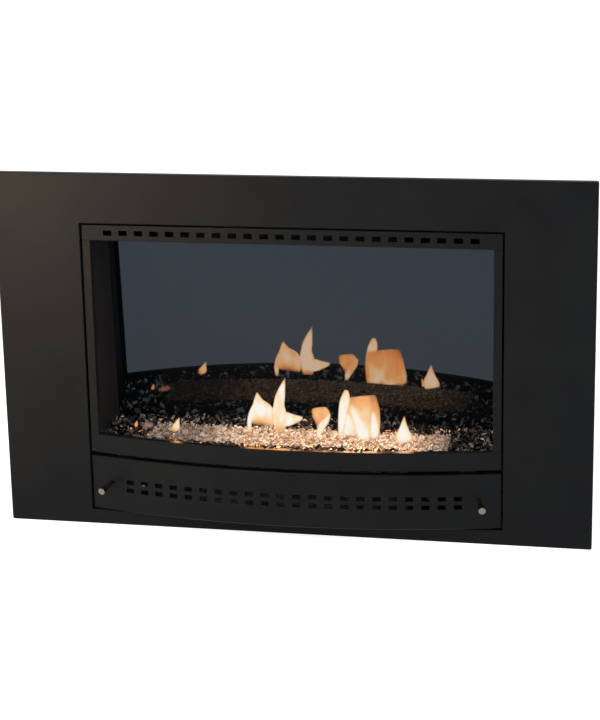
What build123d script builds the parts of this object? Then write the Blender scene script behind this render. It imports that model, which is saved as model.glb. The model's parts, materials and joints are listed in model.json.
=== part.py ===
from build123d import *
from math import atan2, cos, radians, sin, sqrt, tan
import os

# Bowed-front gas fireplace insert.
# Millimetres. +X is to the right, +Y goes back into the wall, +Z is up.
# The origin is on the hearth, on the centre line, in the plane of the wall's face.

os.makedirs("parts", exist_ok=True)

# ---------------------------------------------------------------- driving sizes
sheet = 1.6                    # folded sheet steel
fold_radius = 1.2              # outside radius of a straight folded edge
fold_bevel = 1                 # bevel along a bowed or cornered fold
touch_gap = 0.3                # between loose pieces that only rest near each other

surround_width = 1020
surround_header = 86.5         # from the opening's top up to the surround's top
surround_depth = 12            # returns from the face back to the wall
surround_corner = 3.5

opening_width = 721            # cut-out in the surround
opening_height = 517.5
opening_bottom = 26            # height of the surround's bottom bar

reveal_gap = 3                 # dark gap round the frame
frame_recess = 2               # frame face behind the surround's face
frame_depth = 12
top_bar_height = 27
side_bar_width = 14.5

vent_width = 15                # punched slots
vent_height = 9
vent_pitch = 27.13
vent_count = 24

bow_recess = 3                 # ends of the bow behind the surround's face
bow_rise = 42                  # how far the middle stands forward of the ends

lip_bottom = 134
lip_height = 32
lip_depth = 12
lip_gap = 7.5                  # between the lip and the door

door_bottom = 29
door_depth = 14
door_vent_width = 14
door_vent_slot = 8.2           # height of one slot
door_vent_pitch = 27.42
door_vent_columns = 22
door_vent_rows = 2
door_vent_row_pitch = 15
door_vent_height = 76.5        # height of the rows' middle above the hearth

pull_station = 324             # along the bow from the middle
pull_height = 81
pull_droop = 7                 # degrees that the pins tip down
pull_shaft_radius = 3.5
pull_collar_radius = 5
pull_head_radius = 6
pull_shaft_length = 18
pull_collar_length = 4
pull_neck_length = 3
pull_neck_radius = 3.9
pull_head_length = 13

wall_inset = 7                 # firebox walls stand outside the window's edge
firebox_depth = 147.5          # wall plane to the middle of the back panel, half way up
back_panel_radius = 3000
back_panel_lean = 3.8          # degrees, top forward
back_panel_thickness = 3

casing_width = 770
casing_depth = 230
casing_head_room = 21.5        # casing's top above the opening's top
casing_flange = 18
rib_height = 24                # pressed ribs in the casing's back
rib_rise = 4
rib_count = 2

bed_drop = 15                  # top of the black glass below the lip's rim
strip_drop = 9                 # top of the clear glass below the lip's rim
strip_length = 532
strip_front = 14
strip_width = 80
strip_spill = 26               # clear glass runs forward to this distance from the lip
burner_margin = 6              # the pan is this much smaller than the strip all round
burner_height = 15
port_length = 28
port_width = 1.6
port_pitch = 40
port_count = 12
port_row_pitch = 28

throat_half = 13               # square throat, where the mixing tube comes up through the floor
venturi_drop = 22              # mixing tube's axis below the firebox floor
venturi_radius = 11
venturi_back = 16              # closed end, left of the throat's axis
venturi_reach = 92             # open end, right of the throat's axis
shutter_length = 22            # folded air shutter over the open end
shutter_half = 13
injector_gap = 4
injector_nose_radius = 4
injector_nose_length = 9
injector_hex = 9               # across the corners, halved
injector_hex_length = 12
injector_hole = 1
hanger_width = 16
hanger_thickness = 2

pilot_offset = 22              # pilot's axis beyond the strip's end
pilot_base_width = 22
pilot_base_depth = 32
pilot_base_thickness = 2
pilot_room = 3                 # between the pilot's base and the black glass
pilot_radius = 5
pilot_stem = 12
pilot_cap_width = 14
pilot_spread = 12              # electrode and thermocouple each side of the pilot
electrode_radius = 3
electrode_wire_radius = 0.9
electrode_sleeve = 9
electrode_length = 15
thermocouple_radius = 2
thermocouple_collar = 5
thermocouple_length = 16

flue_bore = 51
flue_wall = 1.5
flue_centre = 70               # behind the wall plane
flue_stand = 35                # collar above the casing's top
flue_plate = 128               # square plate that carries the collar on the casing
hood_length = 420
hood_width = 112
hood_height = 32

hinge_station = 250            # each side of the middle
hinge_forward = 4              # pin line in front of the surround's face
hinge_rise = 5                 # pin line above the surround's bottom bar
hinge_pin_radius = 1.5
hinge_clearance = 0.05
hinge_eye_radius = 3.6
hinge_length = 24
hinge_ear = 3
hinge_side_gap = 0.4
hinge_foot = 6                 # lug's foot in front of its eye
hinge_slot_margin = 2
bracket_set_back = 1           # bracket plate inside the surround's return

magnet_station = 300
magnet_width = 28
magnet_height = 24
magnet_depth = 14
strike_width = 24
strike_height = 15
strike_depth = 9

fixing_spacing_x = 640
fixing_spacing_y = 120
fixing_centre_y = 110
fixing_hole_radius = 4

valve_x = 235
valve_front = 72
valve_width = 70
valve_depth = 48
valve_height = 50
valve_rounding = 5
valve_middle = 70              # height of the control shaft
solenoid_radius = 11
solenoid_height = 14
solenoid_offset = 16
bracket_margin = 10
control_radius = 19
control_length = 20
control_shaft_radius = 4
control_shaft_length = 16
control_shaft_hole = 20
control_clearance = 0.05
control_sides = 8              # flats round the grip
pointer_width = 3
pointer_margin = 4             # pointer's end inside the grip's corners
boss_wall = 2
boss_length = 3
igniter_x = 310
igniter_rise = 14              # above the control shaft
igniter_half = 9               # half the width of the square body
igniter_length = 40
igniter_rim = 3
igniter_collar = 5
button_radius = 6
button_travel = 5
button_length = 16
button_stand = 3
button_clearance = 0.05

pipe_radius = 4
elbow_size = 12                # square elbow fittings on the manifold
pipe_run = 30                  # straight run from the injector to the first elbow
pilot_pipe_radius = 2
pilot_elbow = 7
pilot_pipe_offset = 14         # behind the gas inlet
inlet_thread_radius = 7
inlet_bore = 4
inlet_length = 16
inlet_nut = 12                 # across the corners, halved
inlet_nut_length = 7
inlet_drop = 10                # below the control shaft

clip_width = 26
clip_height = 40
clip_depth = 42
clip_margin = 85               # clips in from the opening's top and bottom

# ---------------------------------------------------------------- derived places
front_y = -surround_depth
frame_y = front_y + frame_recess
bow_end_y = front_y + bow_recess
opening_top = opening_bottom + opening_height
surround_height = opening_top + surround_header
opening_middle = opening_bottom + opening_height / 2
frame_half = opening_width / 2 - reveal_gap
window_half = frame_half - side_bar_width
top_bar_top = opening_top - reveal_gap
top_bar_bottom = top_bar_top - top_bar_height
lip_top = lip_bottom + lip_height
door_top = lip_bottom - lip_gap
door_height = door_top - door_bottom

bow_radius = (frame_half**2 + bow_rise**2) / (2 * bow_rise)
bow_centre_y = bow_end_y - bow_rise + bow_radius

wall_x = window_half + wall_inset
casing_half = casing_width / 2
casing_height = opening_top + casing_head_room
casing_front = front_y + sheet
floor_bottom = lip_bottom - sheet
firebox_top_z = top_bar_bottom + sheet
firebox_back = firebox_depth + 23
bed_top = lip_top - bed_drop
strip_top = lip_top - strip_drop
burner_top = lip_bottom + burner_height
burner_length = strip_length - 2 * burner_margin
strip_middle_y = strip_front + strip_width / 2

lean = radians(back_panel_lean)
half_way_up = (lip_bottom + firebox_top_z) / 2
panel_foot_y = firebox_depth + (half_way_up - lip_bottom) * tan(lean)
panel_centre_y = panel_foot_y - back_panel_radius

hood_bottom = firebox_top_z + sheet
hood_top = hood_bottom + hood_height
hood_slope = atan2(hood_height, (hood_length - hood_width) / 2)
hood_foot = sheet / sin(hood_slope)    # width that a sloping end covers at its foot
flue_top = casing_height + flue_stand
hinge_y = front_y - hinge_forward
hinge_z = opening_bottom + hinge_rise
igniter_z = valve_middle + igniter_rise


def bow_y(x, inset=0):
    """Front-to-back place of the bowed face at x, or of a face set back from it."""
    return bow_centre_y - sqrt((bow_radius - inset) ** 2 - x**2)


def bow_plane(station, height):
    """Plane on the bowed face: local x along the bow, local y up, normal outwards."""
    turn = station / bow_radius
    point = (bow_radius * sin(turn), bow_centre_y - bow_radius * cos(turn), height)
    return Plane(origin=point, x_dir=(cos(turn), sin(turn), 0), z_dir=(sin(turn), -cos(turn), 0))


def panel_y(x, inset=0):
    """Front-to-back place of the back panel's foot at x, or of a face in front of it."""
    return panel_centre_y + sqrt((back_panel_radius - inset) ** 2 - x**2)


def panel_arc(inset, half):
    """Arc of the back panel's foot from side to side, set forward from its face."""
    end_y = panel_y(half, inset)
    return ThreePointArc((-half, end_y), (0, panel_y(0, inset)), (half, end_y))


def bowed_arc(inset, half):
    """Arc of the bow from end to end, set back from its face."""
    end_y = bow_y(half, inset)
    return ThreePointArc((-half, end_y), (0, bow_y(0, inset)), (half, end_y))


def bowed_band(inset, depth, half):
    """Plan outline between two arcs of the bow, closed by straight ends."""
    with BuildSketch(Plane.XY) as band:
        with BuildLine():
            front = bowed_arc(inset, half)
            rear = bowed_arc(inset + depth, half)
            Line(front @ 0, rear @ 0)
            Line(front @ 1, rear @ 1)
        make_face()
    return band.sketch_local


def bowed_plate(inset, half, back):
    """Plan outline with the bow in front and a straight back edge."""
    with BuildSketch(Plane.XY) as plate:
        with BuildLine():
            front = bowed_arc(inset, half)
            Polyline(front @ 1, (half, back), (-half, back), front @ 0)
        make_face()
    return plate.sketch_local


def box_between(low, high, mode=Mode.ADD):
    """Block given by two corners."""
    size = [b - a for a, b in zip(low, high)]
    middle = [(a + b) / 2 for a, b in zip(low, high)]
    with Locations(tuple(middle)):
        Box(*size, mode=mode)


# ---------------------------------------------------------------- surround
with BuildPart() as surround_panel:
    with BuildSketch(Plane.XZ):
        with Locations((0, surround_height / 2)):
            RectangleRounded(surround_width, surround_height, surround_corner)
        with Locations((0, opening_middle)):
            Rectangle(opening_width, opening_height, mode=Mode.SUBTRACT)
    extrude(amount=surround_depth)
    with BuildSketch(Plane.XZ):
        with Locations((0, surround_height / 2)):
            RectangleRounded(surround_width - 2 * sheet, surround_height - 2 * sheet, surround_corner - sheet)
        with Locations((0, opening_middle)):
            Rectangle(opening_width + 2 * sheet, opening_height + 2 * sheet, mode=Mode.SUBTRACT)
    extrude(amount=surround_depth - sheet, mode=Mode.SUBTRACT)
    folds = surround_panel.edges().group_by(Axis.Y)[0]
    chamfer(folds, length=fold_bevel)
surround_panel.part.label = "surround_panel"
export_step(surround_panel.part, "parts/surround_panel.step")

# ---------------------------------------------------------------- frame bars
with BuildPart() as frame_top_bar:
    with BuildSketch(Plane.XZ.offset(-frame_y)):
        with Locations((0, (top_bar_bottom + top_bar_top) / 2)):
            Rectangle(2 * frame_half, top_bar_height)
    extrude(amount=-frame_depth)
    with BuildSketch(Plane.XZ.offset(-frame_y - sheet)):
        with Locations((0, (top_bar_bottom + top_bar_top) / 2)):
            Rectangle(2 * (frame_half - sheet), top_bar_height - 2 * sheet)
    extrude(amount=-frame_depth, mode=Mode.SUBTRACT)
    fillet(frame_top_bar.edges().group_by(Axis.Y)[0], radius=fold_radius)
    with BuildSketch(Plane.XZ.offset(-frame_y)):
        with Locations((0, (top_bar_bottom + top_bar_top) / 2)):
            with GridLocations(vent_pitch, 0, vent_count, 1):
                Rectangle(vent_width, vent_height)
    extrude(amount=-sheet, mode=Mode.SUBTRACT)
frame_top_bar.part.label = "frame_top_bar"
export_step(frame_top_bar.part, "parts/frame_top_bar.step")

for side, name in ((-1, "frame_bar_left"), (1, "frame_bar_right")):
    bar_x = side * (window_half + side_bar_width / 2)
    with BuildPart() as frame_bar:
        box_between(
            (bar_x - side_bar_width / 2, frame_y, lip_top),
            (bar_x + side_bar_width / 2, frame_y + frame_depth, top_bar_bottom),
        )
        box_between(
            (bar_x - side_bar_width / 2 + sheet, frame_y + sheet, lip_top),
            (bar_x + side_bar_width / 2 - sheet, frame_y + frame_depth, top_bar_bottom),
            Mode.SUBTRACT,
        )
        fillet(frame_bar.edges().filter_by(Axis.Z).group_by(Axis.Y)[0], radius=fold_radius)
    frame_bar.part.label = name
    export_step(frame_bar.part, f"parts/{name}.step")

# ---------------------------------------------------------------- bowed lip
with BuildPart() as front_lip:
    with BuildSketch(Plane.XY.offset(lip_bottom)):
        add(bowed_band(0, lip_depth, frame_half))
    extrude(amount=lip_height)
    with BuildSketch(Plane.XY.offset(lip_bottom)):
        add(bowed_band(sheet, lip_depth - 2 * sheet, frame_half - sheet))
    extrude(amount=lip_height - sheet, mode=Mode.SUBTRACT)
    chamfer(front_lip.edges().group_by(Axis.Z)[-1], length=fold_bevel)
front_lip.part.label = "front_lip"
export_step(front_lip.part, "parts/front_lip.step")

# ---------------------------------------------------------------- access door
with BuildPart() as access_door:
    with BuildSketch(Plane.XY.offset(door_bottom)):
        add(bowed_band(0, door_depth, frame_half))
    extrude(amount=door_height)
    with BuildSketch(Plane.XY.offset(door_bottom + sheet)):
        add(bowed_band(sheet, door_depth, frame_half - sheet))
    extrude(amount=door_height - 2 * sheet, mode=Mode.SUBTRACT)
    folds = access_door.faces().sort_by(Axis.Y)[0].edges().filter_by(GeomType.CIRCLE)
    chamfer(folds, length=fold_bevel)
    vent_planes = []
    for column in range(door_vent_columns):
        station = (column - (door_vent_columns - 1) / 2) * door_vent_pitch
        for row in range(door_vent_rows):
            height = door_vent_height + (row - (door_vent_rows - 1) / 2) * door_vent_row_pitch
            vent_planes.append(bow_plane(station, height))
    with Locations(*vent_planes):
        Box(door_vent_width, door_vent_slot, 4 * sheet, mode=Mode.SUBTRACT)
    slot_half = hinge_length / 2 + hinge_slot_margin
    slot_front = hinge_y - hinge_eye_radius - hinge_slot_margin
    for side in (-1, 1):
        box_between(
            (side * hinge_station - slot_half, slot_front, door_bottom - 1),
            (side * hinge_station + slot_half, hinge_y + door_depth, door_bottom + sheet + 1),
            Mode.SUBTRACT,
        )
access_door.part.label = "access_door"
export_step(access_door.part, "parts/access_door.step")

# Hinge lugs: an eye on the pin and a foot on the door's bottom flange.
eye_length = hinge_length - 2 * (hinge_ear + hinge_side_gap)
with BuildPart() as door_hinge_lugs:
    for side in (-1, 1):
        start = side * hinge_station - eye_length / 2
        foot_y = hinge_y - hinge_eye_radius - hinge_foot
        with BuildSketch(Plane.YZ.offset(start)):
            with BuildLine():
                Polyline(
                    (hinge_y, hinge_z + hinge_eye_radius),
                    (foot_y, hinge_z + hinge_eye_radius),
                    (foot_y, door_bottom + sheet),
                    (hinge_y, door_bottom + sheet),
                    close=True,
                )
            make_face()
            with Locations((hinge_y, hinge_z)):
                RegularPolygon(hinge_eye_radius, 8, major_radius=False, rotation=22.5)
                Circle(hinge_pin_radius + hinge_clearance, mode=Mode.SUBTRACT)
        extrude(amount=eye_length)
door_hinge_lugs.part.label = "door_hinge_lugs"
export_step(door_hinge_lugs.part, "parts/door_hinge_lugs.step")

# Fixed ears and pins on the surround's bottom return.
plate_front = front_y + bracket_set_back
plate_rear = -bracket_set_back
with BuildPart() as hinge_brackets:
    for side in (-1, 1):
        middle = side * hinge_station
        box_between(
            (middle - hinge_length / 2, plate_front, opening_bottom),
            (middle + hinge_length / 2, plate_rear, opening_bottom + sheet),
        )
        for end in (-1, 1):
            ear_start = middle + end * (hinge_length - hinge_ear) / 2 - hinge_ear / 2
            with BuildSketch(Plane.YZ.offset(ear_start)):
                with BuildLine():
                    Polyline(
                        (plate_rear, opening_bottom),
                        (plate_front, opening_bottom),
                        (hinge_y, hinge_z - hinge_eye_radius),
                        (hinge_y - hinge_eye_radius, hinge_z - hinge_pin_radius),
                        (hinge_y - hinge_eye_radius, hinge_z + hinge_pin_radius),
                        (hinge_y, hinge_z + hinge_eye_radius),
                        (plate_rear, opening_bottom + 2 * sheet),
                        close=True,
                    )
                make_face()
            extrude(amount=hinge_ear)
        with BuildSketch(Plane.YZ.offset(middle - hinge_length / 2)):
            with Locations((hinge_y, hinge_z)):
                Circle(hinge_pin_radius)
        extrude(amount=hinge_length)
hinge_brackets.part.label = "hinge_brackets"
export_step(hinge_brackets.part, "parts/hinge_brackets.step")

# Strike tabs under the door's top flange, met by magnets under the firebox floor.
strike_rear = bow_y(magnet_station + magnet_width / 2, door_depth)
with BuildPart() as door_strikes:
    for side in (-1, 1):
        with BuildSketch(Plane.YZ.offset(side * magnet_station - strike_width / 2)):
            with BuildLine():
                Polyline(
                    (strike_rear - strike_depth, door_top - sheet),
                    (strike_rear, door_top - sheet),
                    (strike_rear, door_top - sheet - strike_height),
                    (strike_rear - sheet, door_top - sheet - strike_height),
                    (strike_rear - sheet, door_top - 2 * sheet),
                    (strike_rear - strike_depth, door_top - 2 * sheet),
                    close=True,
                )
            make_face()
        extrude(amount=strike_width)
door_strikes.part.label = "door_strikes"
export_step(door_strikes.part, "parts/door_strikes.step")

with BuildPart() as door_magnets:
    for side in (-1, 1):
        box_between(
            (side * magnet_station - magnet_width / 2, strike_rear + touch_gap, floor_bottom - magnet_height),
            (side * magnet_station + magnet_width / 2, strike_rear + touch_gap + magnet_depth, floor_bottom),
        )
    chamfer(door_magnets.edges().filter_by(Axis.Z), length=2)
door_magnets.part.label = "door_magnets"
export_step(door_magnets.part, "parts/door_magnets.step")

# ---------------------------------------------------------------- pull knobs
# Turned pins that tip down a little, trimmed where they meet the door's face.
for side, name in ((-1, "pull_knob_left"), (1, "pull_knob_right")):
    seat = bow_plane(side * pull_station, pull_height)
    pin = seat.rotated((pull_droop, 0, 0))
    across = Plane(origin=pin.origin, x_dir=pin.z_dir, z_dir=pin.x_dir)
    collar_start = pull_shaft_length
    neck_start = collar_start + pull_collar_length
    head_start = neck_start + pull_neck_length
    pull_end = head_start + pull_head_length
    with BuildPart() as pull_knob:
        with BuildSketch(across):
            with BuildLine():
                Polyline(
                    (-pull_shaft_radius, 0),
                    (-pull_shaft_radius, pull_shaft_radius),
                    (collar_start, pull_shaft_radius),
                    (collar_start, pull_collar_radius),
                    (neck_start, pull_collar_radius),
                    (neck_start, pull_neck_radius),
                    (head_start, pull_neck_radius),
                    (head_start, pull_head_radius),
                    (pull_end, pull_head_radius),
                    (pull_end, 0),
                    close=True,
                )
            make_face()
        revolve(axis=Axis(pin.origin, pin.z_dir))
        split(bisect_by=seat, keep=Keep.TOP)
    pull_knob.part.label = name
    export_step(pull_knob.part, f"parts/{name}.step")

# ---------------------------------------------------------------- casing
with BuildPart() as casing_base:
    box_between((-casing_half, 0, 0), (casing_half, casing_depth, sheet))
    for side in (-1, 1):
        edge = sorted((side * casing_half, side * (casing_half - sheet)))
        box_between((edge[0], 0, sheet), (edge[1], casing_depth, casing_flange))
    box_between(
        (-casing_half, casing_depth - sheet, sheet), (casing_half, casing_depth, casing_flange)
    )
    with BuildSketch(Plane.XY):
        with Locations((0, fixing_centre_y)):
            with GridLocations(fixing_spacing_x, fixing_spacing_y, 2, 2):
                Circle(fixing_hole_radius)
    extrude(amount=sheet, mode=Mode.SUBTRACT)
casing_base.part.label = "casing_base"
export_step(casing_base.part, "parts/casing_base.step")

inlet_z = valve_middle - inlet_drop
inlet_y = valve_front + valve_depth / 2
side_back = casing_depth - sheet
side_top = casing_height - sheet
for side, name in ((-1, "casing_left"), (1, "casing_right")):
    outer = side * (casing_half - sheet)
    inner = side * (casing_half - 2 * sheet)
    low_x, high_x = sorted((outer, inner))
    turned = sorted((inner, inner - side * casing_flange))
    with BuildPart() as casing_side:
        box_between((low_x, casing_front, sheet), (high_x, side_back, side_top))
        box_between((turned[0], side_back - sheet, sheet), (turned[1], side_back, side_top))
        if side > 0:
            with BuildSketch(Plane.YZ.offset(low_x - 1)):
                with Locations((inlet_y, inlet_z)):
                    Circle(inlet_thread_radius + touch_gap)
            extrude(amount=sheet + 2, mode=Mode.SUBTRACT)
    casing_side.part.label = name
    export_step(casing_side.part, f"parts/{name}.step")

with BuildPart() as casing_back:
    rear_face = casing_depth - 2 * sheet
    back_half = casing_half - 2 * sheet
    box_between((-back_half, rear_face - sheet, sheet), (back_half, rear_face, casing_height - sheet))
    for rib in range(rib_count):
        for pressed_from, mode in ((rear_face - sheet, Mode.ADD), (rear_face, Mode.SUBTRACT)):
            with BuildSketch(Plane.XZ.offset(-pressed_from)):
                with Locations((0, (rib + 1) * casing_height / (rib_count + 1))):
                    Rectangle(1.6 * back_half, rib_height)
            extrude(amount=rib_rise, taper=45, mode=mode)
casing_back.part.label = "casing_back"
export_step(casing_back.part, "parts/casing_back.step")

skirt_bottom = casing_height - casing_flange
with BuildPart() as casing_top:
    box_between((-casing_half, casing_front, side_top), (casing_half, casing_depth, casing_height))
    for side in (-1, 1):
        edge = sorted((side * casing_half, side * (casing_half - sheet)))
        box_between((edge[0], casing_front, skirt_bottom), (edge[1], casing_depth, side_top))
    box_between((-casing_half, side_back, skirt_bottom), (casing_half, casing_depth, side_top))
    with BuildSketch(Plane.XY.offset(casing_height - sheet)):
        with Locations((0, flue_centre)):
            Circle(flue_bore + flue_wall + touch_gap)
    extrude(amount=sheet, mode=Mode.SUBTRACT)
casing_top.part.label = "casing_top"
export_step(casing_top.part, "parts/casing_top.step")

# ---------------------------------------------------------------- firebox
with BuildPart() as firebox_floor:
    with BuildSketch(Plane.XY.offset(floor_bottom)):
        add(bowed_plate(lip_depth / 2, frame_half - sheet, firebox_back))
        with Locations((0, firebox_back / 2)):
            Rectangle(2 * (casing_half - 2 * sheet), firebox_back)
    extrude(amount=sheet)
    with BuildSketch(Plane.XY.offset(floor_bottom)):
        with Locations((0, strip_middle_y)):
            Rectangle(2 * (throat_half - sheet), 2 * (throat_half - sheet))
    extrude(amount=sheet, mode=Mode.SUBTRACT)
firebox_floor.part.label = "firebox_floor"
export_step(firebox_floor.part, "parts/firebox_floor.step")

for side, name in ((-1, "firebox_left"), (1, "firebox_right")):
    wall = sorted((side * wall_x, side * (wall_x + sheet)))
    front_flange = sorted((side * (window_half + sheet), side * frame_half))
    with BuildPart() as firebox_wall:
        box_between(
            (wall[0], frame_y + frame_depth, lip_bottom), (wall[1], panel_foot_y, firebox_top_z)
        )
        box_between(
            (front_flange[0], frame_y + frame_depth, lip_top),
            (front_flange[1], frame_y + frame_depth + sheet, firebox_top_z),
        )
    firebox_wall.part.label = name
    export_step(firebox_wall.part, f"parts/{name}.step")

with BuildPart() as back_panel:
    panel_half = wall_x - touch_gap
    with BuildSketch(Plane.XY.offset(lip_bottom)):
        with BuildLine():
            face = panel_arc(0, panel_half)
            rear = panel_arc(-back_panel_thickness, panel_half)
            Line(face @ 0, rear @ 0)
            Line(face @ 1, rear @ 1)
        make_face()
    panel_height = firebox_top_z - lip_bottom
    extrude(amount=panel_height / cos(lean), dir=(0, -sin(lean), cos(lean)))
back_panel.part.label = "back_panel"
export_step(back_panel.part, "parts/back_panel.step")

with BuildPart() as firebox_top:
    box_between(
        (-wall_x - sheet, frame_y + sheet, firebox_top_z),
        (wall_x + sheet, panel_foot_y, firebox_top_z + sheet),
    )
    with BuildSketch(Plane.XY.offset(firebox_top_z)):
        with Locations((0, flue_centre)):
            Rectangle(hood_length - 2 * hood_foot, hood_width - 2 * sheet)
    extrude(amount=sheet, mode=Mode.SUBTRACT)
firebox_top.part.label = "firebox_top"
export_step(firebox_top.part, "parts/firebox_top.step")

# Folded hood: upright front and back, ends sloping up to a flat plate under the collar.
with BuildPart() as flue_hood:
    for inset, foot, mode in ((0, 0, Mode.ADD), (sheet, hood_foot, Mode.SUBTRACT)):
        shoulder = hood_width / 2 - inset * tan(hood_slope / 2)
        with BuildSketch(Plane.XZ.offset(inset - flue_centre - hood_width / 2)):
            with BuildLine():
                Polyline(
                    (foot - hood_length / 2, hood_bottom),
                    (-shoulder, hood_top - inset),
                    (shoulder, hood_top - inset),
                    (hood_length / 2 - foot, hood_bottom),
                    close=True,
                )
            make_face()
        extrude(amount=hood_width - 2 * inset, mode=mode)
    with BuildSketch(Plane.XY.offset(hood_top)):
        with Locations((0, flue_centre)):
            Circle(flue_bore)
    extrude(amount=-sheet, mode=Mode.SUBTRACT)
flue_hood.part.label = "flue_hood"
export_step(flue_hood.part, "parts/flue_hood.step")

with BuildPart() as flue_collar:
    with BuildSketch(Plane.XY.offset(hood_top)):
        with Locations((0, flue_centre)):
            Circle(flue_bore + flue_wall)
            Circle(flue_bore, mode=Mode.SUBTRACT)
    extrude(amount=flue_top - hood_top)
    with BuildSketch(Plane.XY.offset(casing_height)):
        with Locations((0, flue_centre)):
            Rectangle(flue_plate, flue_plate)
            Circle(flue_bore + flue_wall, mode=Mode.SUBTRACT)
    extrude(amount=sheet)
flue_collar.part.label = "flue_collar"
export_step(flue_collar.part, "parts/flue_collar.step")

# ---------------------------------------------------------------- burner and glass
with BuildPart() as burner_pan:
    low = (-burner_length / 2, strip_front + burner_margin, lip_bottom)
    high = (burner_length / 2, strip_front + strip_width - burner_margin, burner_top)
    box_between(low, high)
    inner_low = (low[0] + sheet, low[1] + sheet, low[2])
    inner_high = (high[0] - sheet, high[1] - sheet, high[2] - sheet)
    box_between(inner_low, inner_high, Mode.SUBTRACT)
    with BuildSketch(Plane.XY.offset(burner_top)):
        with Locations((0, strip_middle_y)):
            with GridLocations(port_pitch, port_row_pitch, port_count, 2):
                Rectangle(port_length, port_width)
    extrude(amount=-sheet, mode=Mode.SUBTRACT)
burner_pan.part.label = "burner_pan"
export_step(burner_pan.part, "parts/burner_pan.step")

# Clear glass over and round the pan, spilling forward to a bowed edge near the lip.
strip_half = strip_length / 2
strip_back = strip_front + strip_width
strip_near = lip_depth + strip_spill
with BuildPart() as clear_glass_strip:
    with BuildSketch(Plane.XY.offset(lip_bottom)):
        add(bowed_plate(strip_near, strip_half, strip_back))
    extrude(amount=strip_top - lip_bottom)
    pan_room = burner_margin - touch_gap
    box_between(
        (pan_room - strip_half, strip_front + pan_room, lip_bottom),
        (strip_half - pan_room, strip_back - pan_room, burner_top),
        Mode.SUBTRACT,
    )
clear_glass_strip.part.label = "clear_glass_strip"
export_step(clear_glass_strip.part, "parts/clear_glass_strip.step")

# Black glass all round it, from the lip to the back panel, with a pocket for the pilot.
pilot_x = -strip_half - pilot_offset
pocket_left = pilot_x - pilot_base_width / 2 - pilot_room
pocket_half = pilot_base_depth / 2 + pilot_room
bed_half = wall_x - touch_gap
bed_rear_drop = (bed_top - lip_bottom) * tan(lean) + touch_gap
with BuildPart() as black_glass_bed:
    with BuildSketch(Plane.XY.offset(lip_bottom)):
        with BuildLine():
            near = bowed_arc(lip_depth + touch_gap, bed_half)
            far = panel_arc(bed_rear_drop, bed_half)
            Line(near @ 0, far @ 0)
            Line(near @ 1, far @ 1)
        make_face()
    extrude(amount=bed_top - lip_bottom)
    with BuildSketch(Plane.XY.offset(lip_bottom)):
        add(bowed_plate(strip_near - touch_gap, strip_half + touch_gap, strip_back + touch_gap))
    extrude(amount=bed_top - lip_bottom, mode=Mode.SUBTRACT)
    box_between(
        (pocket_left, strip_middle_y - pocket_half, lip_bottom),
        (-strip_half, strip_middle_y + pocket_half, bed_top),
        Mode.SUBTRACT,
    )
black_glass_bed.part.label = "black_glass_bed"
export_step(black_glass_bed.part, "parts/black_glass_bed.step")

# Mixing tube under the floor: a square throat up into the pan, and a folded air shutter saddled
# over its open end towards the valve.
venturi_z = floor_bottom - venturi_drop
with BuildPart() as burner_venturi:
    with BuildSketch(Plane.XZ.offset(-strip_middle_y)):
        with BuildLine():
            Polyline(
                (-venturi_back, venturi_z),
                (-venturi_back, venturi_z + venturi_radius),
                (venturi_reach, venturi_z + venturi_radius),
                (venturi_reach, venturi_z + venturi_radius - sheet),
                (sheet - venturi_back, venturi_z + venturi_radius - sheet),
                (sheet - venturi_back, venturi_z),
                close=True,
            )
        make_face()
    revolve(axis=Axis((0, strip_middle_y, venturi_z), (1, 0, 0)))
    with BuildSketch(Plane.XY.offset(venturi_z)):
        with Locations((0, strip_middle_y)):
            Rectangle(2 * throat_half, 2 * throat_half)
    extrude(amount=venturi_drop)
    with BuildSketch(Plane.XY.offset(venturi_z)):
        with Locations((0, strip_middle_y)):
            Rectangle(2 * (throat_half - sheet), 2 * (throat_half - sheet))
    extrude(amount=venturi_drop, mode=Mode.SUBTRACT)
    box_between(
        (venturi_reach - shutter_length, strip_middle_y - shutter_half, venturi_z),
        (venturi_reach, strip_middle_y + shutter_half, venturi_z + shutter_half),
    )
    with BuildSketch(Plane.YZ.offset(venturi_reach - shutter_length)):
        with Locations((strip_middle_y, venturi_z)):
            Circle(venturi_radius - sheet)
    extrude(amount=shutter_length, mode=Mode.SUBTRACT)
burner_venturi.part.label = "burner_venturi"
export_step(burner_venturi.part, "parts/burner_venturi.step")

# Injector facing the tube's mouth, hung from the floor by a tab round its hexagon.
injector_start = venturi_reach + injector_gap
hexagon_start = injector_start + injector_nose_length
injector_end = hexagon_start + injector_hex_length
hanger_start = (hexagon_start + injector_end - hanger_thickness) / 2
with BuildPart() as injector:
    with BuildSketch(Plane.YZ.offset(injector_start)):
        with Locations((strip_middle_y, venturi_z)):
            Circle(injector_nose_radius)
    extrude(amount=injector_nose_length)
    with BuildSketch(Plane.YZ.offset(hexagon_start)):
        with Locations((strip_middle_y, venturi_z)):
            RegularPolygon(injector_hex, 6)
    extrude(amount=injector_hex_length)
    with BuildSketch(Plane.YZ.offset(injector_start)):
        with Locations((strip_middle_y, venturi_z)):
            Circle(injector_hole)
    extrude(amount=injector_end - injector_start, mode=Mode.SUBTRACT)
    box_between(
        (hanger_start, strip_middle_y - hanger_width / 2, venturi_z + injector_hex / 2),
        (hanger_start + hanger_thickness, strip_middle_y + hanger_width / 2, floor_bottom),
    )
injector.part.label = "injector"
export_step(injector.part, "parts/injector.step")

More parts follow.
